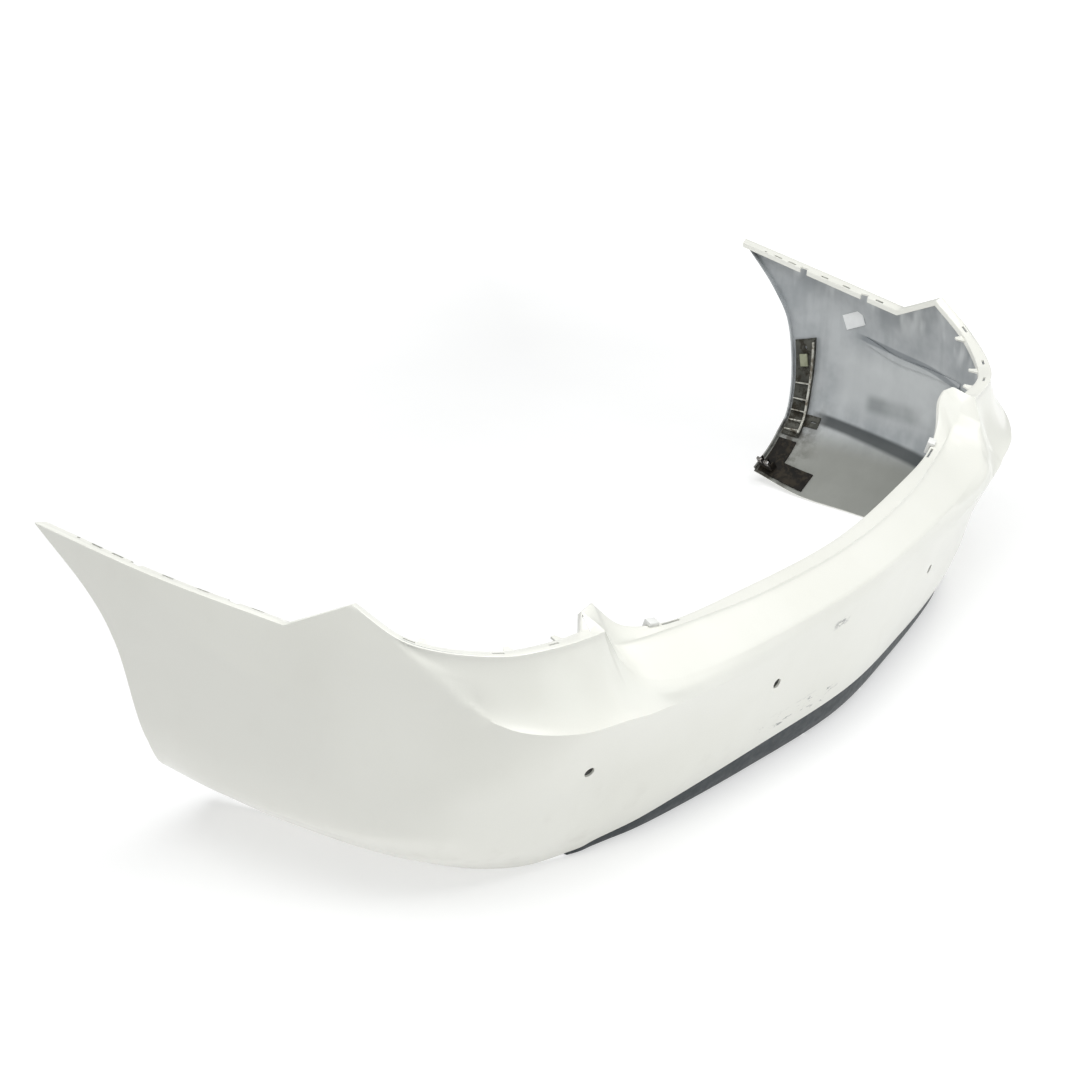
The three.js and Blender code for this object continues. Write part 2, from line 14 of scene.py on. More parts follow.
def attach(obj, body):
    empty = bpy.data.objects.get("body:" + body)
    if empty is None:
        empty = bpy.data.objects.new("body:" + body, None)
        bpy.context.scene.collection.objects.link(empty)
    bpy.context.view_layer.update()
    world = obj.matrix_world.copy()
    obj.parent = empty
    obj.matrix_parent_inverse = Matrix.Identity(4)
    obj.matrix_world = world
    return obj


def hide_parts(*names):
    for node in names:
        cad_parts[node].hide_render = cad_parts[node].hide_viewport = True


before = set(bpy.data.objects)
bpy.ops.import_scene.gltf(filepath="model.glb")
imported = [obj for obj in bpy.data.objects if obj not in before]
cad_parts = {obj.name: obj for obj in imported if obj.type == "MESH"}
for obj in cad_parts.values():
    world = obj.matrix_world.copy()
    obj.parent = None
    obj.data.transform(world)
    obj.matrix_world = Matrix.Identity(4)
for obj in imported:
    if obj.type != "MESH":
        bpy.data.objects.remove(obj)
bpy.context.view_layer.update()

# ---------- driving dimensions ----------
MM = 0.001
WALL = 3 * MM  # thickness of the painted skin
THIN = 2.5 * MM  # thickness of the unpainted mouldings
GAP = 0.3 * MM  # clearance between touching pieces
SHIFT = np.array([0, -362.5, 0.5])  # from the design's origin to the frame's, in millimetres

SENSOR_BORE = 8 * MM  # radius
SENSOR_REACH = 12 * MM  # of the drill, to each side of the skin
SENSOR_PLACES = [(0.240, 0.163), (0.592, 0.161)]  # x and height on each half
EAR_PLACES = [-0.430, -0.270, -0.090, 0.090, 0.270, 0.430]

# Lines of the skin from the centre of the car to the right wheel arch, in millimetres of the design.
# They share fifteen stations, and the left half mirrors them.
LINES = {
    "seam": [(0, 7, 52), (230, 33, 44), (400, 66, 29), (465, 84, 20), (502, 98, 15), (530, 108, 12),
             (548, 114, 9), (566, 124, 6), (618, 155, 0), (662, 200, 0), (690, 257, 0), (705, 315, 0),
             (714, 385, 0.5), (724, 500, 3), (748, 617, 20)],
    "tuck": [(0, -2, 85), (230, 20, 80), (400, 46, 72), (465, 62, 68), (502, 73, 66), (530, 80, 65),
             (548, 86, 64), (566, 92, 63), (650, 124, 62), (722, 170, 62), (765, 232, 62), (785, 300, 62),
             (795, 375, 62), (802, 490, 62), (806, 606, 70)],
    "belt": [(0, -12, 158), (230, -1, 158), (400, 25, 156), (465, 39, 156), (502, 48, 156), (530, 56, 156),
             (548, 62, 156), (566, 67, 156), (672, 102, 155), (764, 160, 152), (812, 230, 150),
             (842, 300, 150), (856, 380, 150), (868, 500, 150), (864, 605, 150)],
    "shoulder": [(0, -21, 208), (230, -12, 214), (400, 0, 228), (465, 8, 232), (502, 14, 235),
                 (530, 19, 237), (548, 23, 239), (566, 28, 241), (645, 48, 250), (712, 90, 268),
                 (760, 163, 300), (840, 290, 300), (858, 372, 305), (878, 490, 335), (884, 628, 300)],
    "upper": [(0, -25, 228), (231, -14, 233), (405, 5, 242), (481, 16, 251), (512, 30, 257), (537, 42, 270),
              (549, 51, 287), (566, 56, 292), (637, 68, 302), (708, 108, 315), (768, 170, 345),
              (828, 282, 370), (850, 365, 350), (880, 530, 375), (888, 665, 360)],
    "rim": [(0, -25, 246), (232, -11, 249), (404, 14, 253), (485, 30, 264), (517, 50, 278), (541, 64, 307),
            (549, 81, 345), (566, 82, 346), (632, 92, 353), (704, 128, 358), (785, 207, 385),
            (809, 274, 427), (838, 362, 385), (874, 551, 412), (898, 748, 444)],
    "groove": [(0, 20, 282), (230, 37, 285), (400, 72, 290), (465, 88, 293), (496, 97, 298), (524, 95, 322),
               (547, 92, 349), (565, 93, 344), (630, 99, 353), (700, 134, 358), (780, 210, 385),
               (804, 276, 426), (831, 364, 385), (867, 553, 411), (891, 746, 443)],
    "step": [(0, 21, 285.5), (230, 38, 288.5), (400, 73, 293.5), (465, 89, 297), (498, 99, 303),
             (523, 98, 326), (546, 96, 350), (565, 101, 343), (628, 106, 352), (697, 139, 357),
             (775, 213, 384), (799, 278, 424), (825, 366, 383), (861, 555, 409), (885, 745, 441)],
    "edge": [(0, 48, 286), (230, 66, 289), (400, 91, 295), (471, 111, 315), (503, 124, 347),
             (517, 124, 361), (544, 122, 359), (565, 111, 341), (625, 114, 350), (692, 146, 355),
             (770, 216, 382), (794, 280, 422), (820, 367, 381), (856, 556, 408), (880, 744, 440)],
    "hem": [(0, 50, 277), (230, 68, 280), (401, 93, 286), (473, 115, 307), (505, 130, 341), (518, 130, 353),
            (542, 129, 351), (565, 113, 332), (625, 115, 341), (692, 147, 346), (769, 217, 373),
            (793, 281, 413), (819, 368, 372), (855, 557, 399), (879, 743, 431)],
}
FACE = ["seam", "tuck", "belt", "shoulder", "upper", "rim"]
FLANGE = ["rim", "groove", "step", "edge", "hem"]
SEAM, TUCK, BELT, SHOULDER, UPPER, RIM, GROOVE, STEP, EDGE, HEM = range(10)
SHARP_STATIONS = [5, 6, 7, 11, 12]
LAST_STATION = 14
STATION_STEPS = 14
SPAN_STEPS = [11, 11, 11, 11, 11, 8, 3, 6, 3]  # rows between two neighbouring lines
ROW_OF = np.concatenate([[0], np.cumsum(SPAN_STEPS)])
VALANCE_STATION = 7


# ---------- curves ----------
def spline(points, steps, sharp=()):
    """Points along a line, with steps between two of its points, smooth except at the sharp ones."""
    points = np.asarray(points, float)
    turns = [0, *sharp, len(points) - 1]
    found = [points[0]]
    for first, last in zip(turns, turns[1:]):
        span = points[first:last + 1]
        ends = [2 * span[0] - span[1]], [2 * span[-1] - span[-2]]
        span = np.vstack([ends[0], span, ends[1]])
        for p0, p1, p2, p3 in zip(span, span[1:], span[2:], span[3:]):
            d0, d1, d2 = (max(np.linalg.norm(b - a), 1e-9) ** 0.5
                          for a, b in ((p0, p1), (p1, p2), (p2, p3)))
            start = ((p1 - p0) / d0 - (p2 - p0) / (d0 + d1) + (p2 - p1) / d1) * d1
            end = ((p2 - p1) / d1 - (p3 - p1) / (d1 + d2) + (p3 - p2) / d2) * d1
            for t in np.arange(1, steps + 1) / steps:
                a = 2 * t ** 3 - 3 * t ** 2
                found.append((1 + a) * p1 + (t ** 3 - 2 * t * t + t) * start
                             - a * p2 + (t ** 3 - t * t) * end)
    return np.array(found)


def full_line(name):
    """A whole line from the left wheel arch to the right one, in metres of the frame."""
    right = np.array(LINES[name], float)
    left = right[:0:-1] * (-1, 1, 1)
    sharp = SHARP_STATIONS if name in FLANGE else []
    middle = len(left)
    turns = sorted([middle - s for s in sharp] + [middle + s for s in sharp])
    return (spline(np.vstack([left, right]), STATION_STEPS, turns) + SHIFT) * MM


def fade(value, start, end):
    """0 before start, 1 after end, smooth between them. Start may be above end."""
    t = np.clip((value - start) / (end - start), 0, 1)
    return t * t * (3 - 2 * t)


# ---------- the skin's grid ----------
def grid_normals(grid):
    """Outward unit normals of a grid of points indexed by column and row."""
    along = np.gradient(grid, axis=0)
    up = np.gradient(grid, axis=1)
    normal = np.cross(along, up)
    return normal / np.linalg.norm(normal, axis=2, keepdims=True)


def relax(grid, row, reach, amount):
    """Rounds the grid off across a row, within reach rows of it. Amount is a number for each column."""
    rows = np.arange(max(row - reach, 1), min(row + reach, grid.shape[1] - 2) + 1)
    middle = (grid[:, rows - 1] + grid[:, rows + 1]) / 2
    grid[:, rows] += (middle - grid[:, rows]) * amount[:, None, None]


def stations_of(count):
    """How many stations each of the columns is from the middle."""
    return np.abs(np.arange(count) / STATION_STEPS - LAST_STATION)


def skin_grid():
    """Points by column and row. The skin turns sharply at the shoulder, as far as the lamp's corner."""
    lines = {name: full_line(name) for name in LINES}
    fold = fade(stations_of(len(lines["seam"])), 10.6, 9.9)
    columns = []
    for c, share in enumerate(fold):
        points = [lines[name][c] for name in FACE]
        smooth = spline(points, SPAN_STEPS[0])
        folded = spline(points, SPAN_STEPS[0], [SHOULDER])
        face = smooth * (1 - share) + folded * share
        rows = [face]
        for name, following, steps in zip(FLANGE, FLANGE[1:], SPAN_STEPS[RIM:]):
            part = (np.arange(1, steps + 1) / steps)[:, None]
            rows.append(lines[name][c] * (1 - part) + lines[following][c] * part)
        columns.append(np.vstack(rows))
    return np.array(columns)


GRID = skin_grid()
STATION = stations_of(len(GRID))  # of each column
LINE = np.interp(np.arange(GRID.shape[1]), ROW_OF, range(len(ROW_OF)))  # of each row
LINE_PITCH, STATION_PITCH = 50 * MM, 85 * MM  # a typical step between lines and between stations
RECESS_DEPTH, RECESS_WIDTH = 16 * MM, 26 * MM  # of the hollow under the lamp, and of the slope into it
WING_CREASE, WING_CREASE_WIDTH = 4 * MM, 0.22  # depth, and width as a share of the way up to the rim
WING_CREASE_ENDS = (10.4, 11.5, 13.2, 14.5)  # stations: starts, full, still full, gone
TUCK_FOLD, TUCK_FOLD_HALF = 6 * MM, 0.4  # depth, and half its width in lines


def lamp_recess(depth, width):
    """Hollows the skin out under the lamp, with a crisp edge along the shoulder and up to the rim."""
    station, line = np.meshgrid(STATION, LINE, indexing="ij")
    above = (line - SHOULDER) * LINE_PITCH
    corner = np.interp(line, [3, 3.3, 3.9, 5], [9.5, 9.85, 10.1, 10.3])
    within = (corner - station) * STATION_PITCH
    inside = np.clip(np.minimum(above, within), 0, None)
    to_rim = np.clip((RIM - line) / (RIM - SHOULDER), 0, 1) ** 0.45
    return -depth * (1 - np.exp(-inside / width)) * to_rim * fade(station, 3.5, 7.5) * (line < RIM)


def crease(depth, centre, width, stations):
    """Pushes the skin in above a line, with a sharp edge along that line.

    The line is at centre(station), and the push fades out towards the rim."""
    station, line = np.meshgrid(STATION, LINE, indexing="ij")
    start = centre(station)
    share = np.clip((line - start) / (RIM - start), 0, 1)
    hollow = (1 - np.exp(-share / width)) * (1 - share) ** 1.2
    return -depth * hollow * fade(station, *stations[:2]) * fade(station, *stations[:1:-1])


def wing_line(station):
    """The character line along the wing."""
    return np.interp(station, [10.6, 11.1, 12, 13], [2.8, 2.93, 3.1, 3.1])


def shaped(grid):
    """The grid with its recess, creases, folds and rounded edges."""
    for row, amount in ((RIM, 0.3), (GROOVE, 0.2), (EDGE, 0.4)):
        relax(grid, ROW_OF[row], 1, amount + 0 * STATION)
    normals = grid_normals(grid)
    push = lamp_recess(RECESS_DEPTH, RECESS_WIDTH)
    push += crease(WING_CREASE, wing_line, WING_CREASE_WIDTH, WING_CREASE_ENDS)
    tuck_line = np.interp(STATION, [7.5, 9.5, 14], [1.55, 1.6, 1.6])
    distance = LINE[None, :] - tuck_line[:, None]
    fold = np.maximum(0, 1 - np.abs(distance) / TUCK_FOLD_HALF)
    push += TUCK_FOLD * fold * fade(STATION, 8.0, 10.0)[:, None]
    return grid + normals * push[:, :, None]


GRID = shaped(GRID)
NORMALS = grid_normals(GRID)
COLUMNS, ROWS = GRID.shape[:2]


def row_at(line):
    return np.interp(line, range(len(ROW_OF)), ROW_OF)


def column_at(station):
    return (LAST_STATION + station) * STATION_STEPS


def blend_at(table, column, row):
    c = int(np.clip(column, 0, COLUMNS - 1.001))
    r = int(np.clip(row, 0, ROWS - 1.001))
    a, b = column - c, row - r
    low = table[c, r] * (1 - b) + table[c, r + 1] * b
    high = table[c + 1, r] * (1 - b) + table[c + 1, r + 1] * b
    return low * (1 - a) + high * a


def matrix_of(side, up, outward, origin):
    """The place with these axes and origin."""
    place = Matrix((side, up, outward)).transposed().to_4x4()
    place.translation = Vector(origin)
    return place


def place_on_skin(column, row, depth=0.0):
    """A place on the skin with side, up and outward axes, sunk by depth below the surface."""
    outward = Vector(blend_at(NORMALS, column, row)).normalized()
    c = int(np.clip(column, 0, COLUMNS - 2))
    r = int(np.clip(row, 0, ROWS - 2))
    along = Vector(GRID[c + 1, r] - GRID[c, r])
    up = outward.cross(along).normalized()
    side = up.cross(outward)
    return matrix_of(side, up, outward, Vector(blend_at(GRID, column, row)) - outward * depth)


def place(station, line, depth=0.0):
    """The place on the skin at a signed station and a line, both of which may be fractions."""
    return place_on_skin(column_at(station), row_at(line), depth)


def column_at_x(row, x):
    return np.interp(x, GRID[:, row, 0], range(COLUMNS))


# ---------- meshes ----------
def new_object(name, vertices, faces, materials, indices=None):
    mesh = bpy.data.meshes.new(name)
    mesh.from_pydata([tuple(v) for v in vertices], [], [tuple(f) for f in faces])
    for material in materials:
        mesh.materials.append(material)
    if indices is not None:
        mesh.polygons.foreach_set("material_index", indices)
    mesh.update()
    obj = bpy.data.objects.new(name, mesh)
    bpy.context.scene.collection.objects.link(obj)
    return obj


def applied(obj):
    """The object with its modifiers applied."""
    graph = bpy.context.evaluated_depsgraph_get()
    mesh = bpy.data.meshes.new_from_object(obj.evaluated_get(graph))
    obj.modifiers.clear()
    obj.data = mesh
    return obj


def combined(obj, tools, operation):
    """The object cut by, or joined with, the tools, which are used up."""
    for tool in tools:
        modifier = obj.modifiers.new("combine", "BOOLEAN")
        modifier.operation = operation
        modifier.solver = "MANIFOLD"
        modifier.object = tool
    applied(obj)
    for tool in tools:
        bpy.data.objects.remove(tool)
    return obj


def joined(objects):
    """One object holding the meshes of several separate solids."""
    mesh = bmesh.new()
    for obj in objects:
        mesh.from_mesh(obj.data)
    mesh.to_mesh(objects[0].data)
    mesh.free()
    for obj in objects[1:]:
        bpy.data.objects.remove(obj)
    return objects[0]


def smoothed(obj, angle=32):
    """Smooth shading with sharp edges where faces meet at more than an angle in degrees."""
    mesh = bmesh.new()
    mesh.from_mesh(obj.data)
    limit = math.radians(angle)
    for face in mesh.faces:
        face.smooth = True
    for edge in mesh.edges:
        edge.smooth = len(edge.link_faces) == 2 and edge.calc_face_angle(0) < limit
    mesh.to_mesh(obj.data)
    mesh.free()
    return obj


def bevelled(obj, width, segments=2, angle=40):
    modifier = obj.modifiers.new("bevel", "BEVEL")
    modifier.width = width
    modifier.segments = segments
    modifier.limit_method = "ANGLE"
    modifier.angle_limit = math.radians(angle)
    return applied(obj)


def sheet(name, outer, inner, materials):
    """A closed sheet between two grids. The outer side has the first material and the rest the last."""
    columns, rows = outer.shape[:2]
    vertices = np.vstack([outer.reshape(-1, 3), inner.reshape(-1, 3)])
    faces, indices = [], []

    def at(side, c, r):
        return side * columns * rows + c * rows + r

    def quad(material, *corners):
        faces.append(corners)
        indices.append(min(material, len(materials) - 1))

    for c in range(columns - 1):
        for r in range(rows - 1):
            quad(0, at(0, c, r), at(0, c + 1, r), at(0, c + 1, r + 1), at(0, c, r + 1))
            quad(1, at(1, c, r), at(1, c, r + 1), at(1, c + 1, r + 1), at(1, c + 1, r))
        top = rows - 1
        quad(0, at(0, c, 0), at(1, c, 0), at(1, c + 1, 0), at(0, c + 1, 0))
        quad(0, at(0, c, top), at(0, c + 1, top), at(1, c + 1, top), at(1, c, top))
    for r in range(rows - 1):
        end = columns - 1
        quad(0, at(0, 0, r), at(0, 0, r + 1), at(1, 0, r + 1), at(1, 0, r))
        quad(0, at(0, end, r), at(1, end, r), at(1, end, r + 1), at(0, end, r + 1))
    return new_object(name, vertices, faces, materials, indices)


def prism(name, matrix, outline, low, high, material):
    """A solid with an outline in the place's side and up axes, from low to high along outward."""
    turns = zip(outline, [*outline[1:], outline[0]])
    if sum(a[0] * b[1] - b[0] * a[1] for a, b in turns) < 0:
        outline = outline[::-1]
    count = len(outline)
    vertices = [matrix @ Vector((x, y, z)) for z in (low, high) for x, y in outline]
    ring = range(count)
    faces = [[(i + 1) % count, i, i + count, (i + 1) % count + count][::-1] for i in ring]
    faces += [list(ring)[::-1], [i + count for i in ring]]
    return new_object(name, vertices, faces, [material])


def block(name, matrix, size, material, offset=(0, 0, 0)):
    """A block centred on a place, seen in that place's axes."""
    half = [s / 2 for s in size]
    outline = [(offset[0] + sx * half[0], offset[1] + sy * half[1])
               for sx, sy in ((-1, -1), (1, -1), (1, 1), (-1, 1))]
    return prism(name, matrix, outline, offset[2] - half[2], offset[2] + half[2], material)


def turned(name, matrix, profile, material, segments=40):
    """A turned solid round the place's outward axis, from (radius, height) corners.

    A profile that starts and ends on the axis is solid, and any other is a closed ring."""
    on_axis = profile[0][0] == 0
    vertices, faces = [], []
    inner = profile[1:-1] if on_axis else profile
    for i in range(segments):
        turn = 2 * math.pi * i / segments
        for radius, height in inner:
            vertices.append(matrix @ Vector((radius * math.cos(turn), radius * math.sin(turn), height)))
    count = len(inner)
    steps = range(count - 1) if on_axis else range(count)
    for i in range(segments):
        j = (i + 1) % segments
        for k in steps:
            m = (k + 1) % count
            faces.append((i * count + k, j * count + k, j * count + m, i * count + m))
    if on_axis:
        faces.append([i * count for i in range(segments)][::-1])
        faces.append([i * count + count - 1 for i in range(segments)])
    return new_object(name, vertices, faces, [material])


def disc_profile(radius, low, high):
    return [(0, low), (radius, low), (radius, high), (0, high)]


def finished(obj, body, slot, *nodes, angle=32):
    """Smooths the piece, names what it rides on and hides the nodes it stands for. The slot is not used."""
    smoothed(obj, angle)
    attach(obj, body)
    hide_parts(*nodes)
    return obj


# ---------- materials ----------
class Nodes:
    """Builds one procedural material."""

    def __init__(self, name, roughness, metallic=0.0):
        self.material = bpy.data.materials.new(name)
        self.material.use_nodes = True
        self.tree = self.material.node_tree
        self.shader = self.tree.nodes["Principled BSDF"]
        self.shader.inputs["Roughness"].default_value = roughness
        self.shader.inputs["Metallic"].default_value = metallic
        self.position = self.tree.nodes.new("ShaderNodeTexCoord").outputs["Object"]

    def link(self, output, target):
        self.tree.links.new(output, target)
        return target

    def stretched(self, scale):
        node = self.tree.nodes.new("ShaderNodeMapping")
        node.inputs["Scale"].default_value = scale
        self.link(self.position, node.inputs["Vector"])
        return node.outputs["Vector"]

    def noise(self, scale, detail=3.0, roughness=0.55, vector=None, distortion=0.0):
        node = self.tree.nodes.new("ShaderNodeTexNoise")
        node.inputs["Scale"].default_value = scale
        node.inputs["Detail"].default_value = detail
        node.inputs["Roughness"].default_value = roughness
        node.inputs["Distortion"].default_value = distortion
        self.link(vector or self.position, node.inputs["Vector"])
        return node.outputs["Fac"]

    def ramp(self, value, low, high, start=0.0, end=1.0):
        """The value with low to high spread over start to end."""
        node = self.tree.nodes.new("ShaderNodeMapRange")
        node.interpolation_type = "SMOOTHSTEP"
        for key, number in zip(("From Min", "From Max", "To Min", "To Max"), (low, high, start, end)):
            node.inputs[key].default_value = number
        self.link(value, node.inputs["Value"])
        return node.outputs["Result"]

    def maths(self, operation, first, second):
        node = self.tree.nodes.new("ShaderNodeMath")
        node.operation = operation
        for value, socket in zip((first, second), node.inputs):
            if isinstance(value, (int, float)):
                socket.default_value = value
            else:
                self.link(value, socket)
        return node.outputs["Value"]

    def mix(self, factor, first, second):
        """Two colours mixed by a factor."""
        node = self.tree.nodes.new("ShaderNodeMix")
        node.data_type = "RGBA"
        self.link(factor, node.inputs["Factor"])
        for value, socket in ((first, node.inputs[6]), (second, node.inputs[7])):
            if isinstance(value, tuple):
                socket.default_value = (*value, 1)
            else:
                self.link(value, socket)
        return node.outputs[2]

    def axis(self, letter):
        node = self.tree.nodes.new("ShaderNodeSeparateXYZ")
        self.link(self.position, node.inputs["Vector"])
        return node.outputs[letter]

    def between(self, value, low, high, soft):
        """1 where a value lies between two others, falling to 0 over a soft edge."""
        rising = self.ramp(value, low - soft, low + soft)
        falling = self.ramp(value, high - soft, high + soft, 1.0, 0.0)
        return self.maths("MULTIPLY", rising, falling)

    def times(self, *values):
        """The product of several values."""
        product = values[0]
        for value in values[1:]:
            product = self.maths("MULTIPLY", product, value)
        return product

    def bump(self, height, strength, distance):
        node = self.tree.nodes.new("ShaderNodeBump")
        node.inputs["Strength"].default_value = strength
        node.inputs["Distance"].default_value = distance
        self.link(height, node.inputs["Height"])
        self.link(node.outputs["Normal"], self.shader.inputs["Normal"])

    def colour(self, value):
        self.link(value, self.shader.inputs["Base Color"])

    def rough(self, value):
        self.link(value, self.shader.inputs["Roughness"])


def pearl_paint():
    m = Nodes("pearl_paint", 0.35)
    tone = m.mix(m.ramp(m.noise(3.0), 0.35, 0.65), (0.80, 0.795, 0.735), (0.83, 0.825, 0.77))
    flakes = m.mix(m.ramp(m.noise(2600, 1.0), 0.62, 0.78), tone, (0.92, 0.92, 0.88))
    dust = m.times(m.ramp(m.noise(22, 5.0), 0.52, 0.78), m.ramp(m.axis("Z"), 0.02, 0.16, 0.22, 0.04))
    dusty = m.mix(dust, flakes, (0.55, 0.53, 0.47))
    rear = m.ramp(m.axis("Y"), -0.30, -0.32)
    marks = m.times(m.ramp(m.noise(45, 6.0, 0.75, m.stretched((0.6, 1, 2.2))), 0.56, 0.62), rear)
    low = m.times(m.between(m.axis("X"), -0.24, -0.06, 0.02), m.between(m.axis("Z"), 0.062, 0.092, 0.008),
                  marks, 0.85)
    scuffed = m.mix(low, dusty, (0.16, 0.165, 0.17))
    high = m.times(m.between(m.axis("X"), -0.105, -0.07, 0.012),
                   m.between(m.axis("Z"), 0.198, 0.208, 0.004),
                   m.ramp(m.noise(150, 5.0, 0.7, m.stretched((0.5, 1, 1.5))), 0.46, 0.52), rear, 0.8)
    m.colour(m.mix(high, scuffed, (0.16, 0.16, 0.16)))
    m.rough(m.ramp(m.noise(14, 5.0), 0.3, 0.7, 0.30, 0.42))
    m.shader.inputs["Coat Weight"].default_value = 0.45
    m.shader.inputs["Coat Roughness"].default_value = 0.16
    m.bump(m.noise(700, 2.0), 0.05, 0.2 * MM)
    return m.material


def inner_skin():
    """Satin blue-grey plastic with haze under the flange, shaded folds, a darker patchy band part way up
    and dirt by the arch.
    """
    m = Nodes("inner_skin", 0.4)
    y, z = m.axis("Y"), m.axis("Z")
    cloud = m.ramp(m.noise(7, 4.0, 0.6), 0.32, 0.68)
    tone = m.mix(cloud, (0.34, 0.36, 0.375), (0.52, 0.54, 0.55))
    under_flange = m.maths("SUBTRACT", z, m.maths("MULTIPLY", y, 0.155))
    haze = m.times(m.ramp(m.noise(11, 2.0, 0.5, m.stretched((2.2, 2.2, 0.8))), 0.50, 0.68),
                   m.ramp(under_flange, 0.31, 0.365), 0.85)
    hazy = m.mix(haze, tone, (0.72, 0.74, 0.74))
    streaks = m.times(m.ramp(m.noise(16, 3.0, 0.5, m.stretched((2.6, 2.6, 0.3))), 0.48, 0.72), 0.22)
    streaked = m.mix(streaks, hazy, (0.22, 0.24, 0.25))
    open_area = m.times(m.between(z, 0.15, 0.27, 0.03), m.ramp(y, 0.17, 0.12), 0.55)
    lit = m.mix(open_area, streaked, (0.66, 0.68, 0.68))
    along_ridge = m.maths("SUBTRACT", z, m.maths("MULTIPLY", y, 0.15))
    shade = m.times(m.between(along_ridge, 0.277, 0.288, 0.002), m.ramp(y, 0.12, 0.09), 0.6)
    shaded = m.mix(shade, lit, (0.13, 0.15, 0.17))
    pale = m.mix(m.ramp(z, 0.12, 0.07, 0.0, 0.85), shaded, (0.23, 0.232, 0.205))
    along_fold = m.maths("SUBTRACT", z, m.maths("MULTIPLY", y, 0.1))
    fold = m.times(m.between(along_fold, 0.093, 0.113, 0.004), m.ramp(y, 0.20, 0.15), 0.92)
    folded = m.mix(fold, pale, (0.055, 0.062, 0.064))
    # A darker patchy band part way up the inner wall.
    dark_band = m.times(m.between(y, -0.12, 0.075, 0.012), m.between(z, 0.155, 0.185, 0.01),
                     m.ramp(m.noise(6, 3.0), 0.30, 0.55), 0.6)
    banded = m.mix(dark_band, folded, (0.16, 0.175, 0.18))
    by_arch = m.times(m.ramp(y, 0.13, 0.22), m.ramp(z, 0.20, 0.08))
    grime = m.times(by_arch, m.ramp(m.noise(26, 6.0, 0.65), 0.40, 0.62))
    m.colour(m.mix(grime, banded, (0.055, 0.050, 0.038)))
    m.rough(m.ramp(m.noise(18, 4.0), 0.35, 0.7, 0.30, 0.48))
    m.bump(m.noise(420, 2.0), 0.06, 0.3 * MM)
    return m.material


def plastic(name, dark, light, roughness, grain, dirt=None):
    """Moulded plastic with a fine grain, uneven tone and optional dirt."""
    m = Nodes(name, roughness)
    tone = m.mix(m.ramp(m.noise(40, 4.0), 0.3, 0.7), dark, light)
    if dirt:
        tone = m.mix(m.ramp(m.noise(55, 6.0, 0.7), 0.46, 0.60), tone, dirt)
        m.shader.inputs["Specular IOR Level"].default_value = 0.2
    m.colour(tone)
    m.rough(m.ramp(m.noise(90, 3.0), 0.3, 0.7, roughness - 0.06, roughness + 0.08))
    m.bump(m.noise(grain, 2.0), 0.25, 0.15 * MM)
    return m.material


def spring_steel():
    m = Nodes("spring_steel", 0.4, 0.9)
    m.colour(m.mix(m.ramp(m.noise(300, 4.0), 0.45, 0.6), (0.16, 0.14, 0.12), (0.40, 0.40, 0.40)))
    m.rough(m.ramp(m.noise(500, 2.0), 0.3, 0.7, 0.3, 0.5))
    m.bump(m.noise(900, 1.0), 0.1, 0.05 * MM)
    return m.material


PAINT = pearl_paint()
INNER = inner_skin()
SLATE = plastic("slate_plastic", (0.030, 0.038, 0.043), (0.040, 0.049, 0.055), 0.55, 1500)
# Painted shade: this dark grey on the arch bracket's channel, wall and tab stands for the shade inside the
# channel, with some dirt on top; the bracket's own colour is the pale grey of its bead and ribs.
SHADED_GREY = plastic("grey_plastic", (0.055, 0.055, 0.047), (0.10, 0.10, 0.085), 0.55, 900, (0.03, 0.026, 0.018))
PALE = plastic("pale_plastic", (0.40, 0.395, 0.35), (0.58, 0.575, 0.52), 0.5, 900, (0.16, 0.14, 0.11))
DIRTY = plastic("dirty_plastic", (0.005, 0.0045, 0.0035), (0.012, 0.010, 0.008), 0.6, 500,
                (0.03, 0.024, 0.016))
BLACK = plastic("black_plastic", (0.016, 0.017, 0.018), (0.03, 0.031, 0.033), 0.5, 1200)
HOLDER = plastic("holder_plastic", (0.15, 0.145, 0.14), (0.22, 0.215, 0.20), 0.5, 1200)
WHITE = plastic("white_plastic", (0.72, 0.72, 0.70), (0.80, 0.80, 0.78), 0.45, 1200)
FOAM = plastic("foam", (0.24, 0.25, 0.17), (0.34, 0.35, 0.25), 0.9, 600)
PAPER = plastic("paper", (0.86, 0.87, 0.87), (0.93, 0.94, 0.94), 0.8, 2200)
STEEL = spring_steel()


# ---------- the painted skin ----------
def sensor_places():
    found = []
    for side in (-1, 1):
        for x, height in SENSOR_PLACES:
            column = column_at_x(ROW_OF[BELT], side * x)
            heights = GRID[int(round(column)), :ROW_OF[SHOULDER] + 1, 2]
            row = np.interp(height, heights, range(len(heights)))
            found.append(place_on_skin(column, row))
    return found


def upright(x, y, z):
    return Matrix.Translation((x, y, z))


def seam_point(x):
    return blend_at(GRID, column_at_x(ROW_OF[SEAM], x), ROW_OF[SEAM])


EAR_WIDTH, EAR_DEPTH, EAR_CORNER = 44 * MM, 34 * MM, 9 * MM
EAR_HOLE, EAR_DRILL = 4.3 * MM, 0.12  # radius, and height of the drill above the floor


def ear_place(x):
    """The outermost y of the ear, the height of its underside and the y of its hole."""
    ends = [seam_point(x - EAR_WIDTH / 2)[2], seam_point(x + EAR_WIDTH / 2)[2]]
    y = seam_point(x)[1]
    return y - WALL + EAR_DEPTH, max(ends) + MM, y + 22 * MM


def ear_outline(x, inset):
    """The ear seen from above: it starts inset from the wall and has round outer corners."""
    half, radius = EAR_WIDTH / 2, EAR_CORNER
    far = ear_place(x)[0]
    outline = [(end, seam_point(end)[1] + inset) for end in (x - half, x + half)]
    for side in (1, -1):
        for i in range(7):
            turn = math.pi / 2 * (i / 6 if side > 0 else 1 - i / 6)
            outline.append((x + side * (half - radius + radius * math.cos(turn)),
                            far - radius + radius * math.sin(turn)))
    return outline


